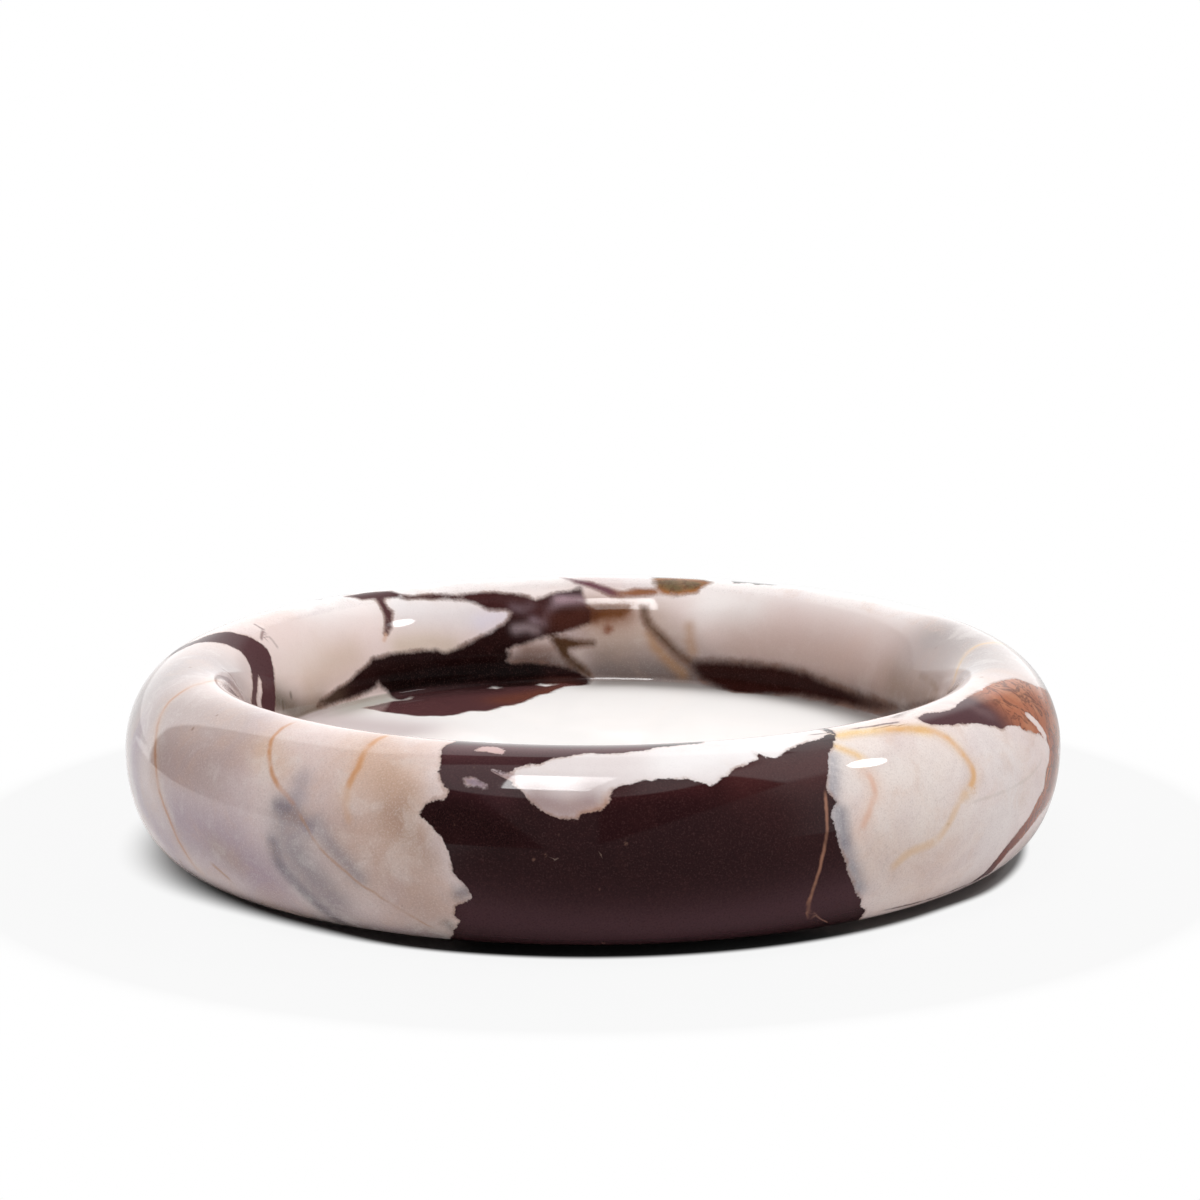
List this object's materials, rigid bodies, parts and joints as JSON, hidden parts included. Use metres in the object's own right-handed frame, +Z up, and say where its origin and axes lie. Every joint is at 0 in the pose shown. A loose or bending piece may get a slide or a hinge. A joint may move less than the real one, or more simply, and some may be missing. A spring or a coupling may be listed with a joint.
{
  "type": "ring dish",
  "caption": "Shallow round ring dish turned from one block of patterned stone, with a thick rounded rim and a raised flat floor, standing on stick-on felt pads.",
  "frame": {"origin": "on the table under the centre of the dish, in the plane of the felt pads' lower faces", "axes": "+Z up along the dish's axis of turning, -Y towards the side seen at the front of the picture"},
  "size_m": [0.11, 0.11, 0.0227],
  "materials": {
    "polished_stone": "polished",
    "felt": "matte",
    "adhesive_film": "matte"
  },
  "bodies": {
    "root": {"stone_dish": "polished_stone", "felt_pad_front_left": "felt", "felt_pad_front_right": "felt", "felt_pad_back_left": "felt", "felt_pad_back_right": "felt", "adhesive_disc_front_left": "adhesive_film", "adhesive_disc_front_right": "adhesive_film", "adhesive_disc_back_left": "adhesive_film", "adhesive_disc_back_right": "adhesive_film"}
  },
  "joints": []
}
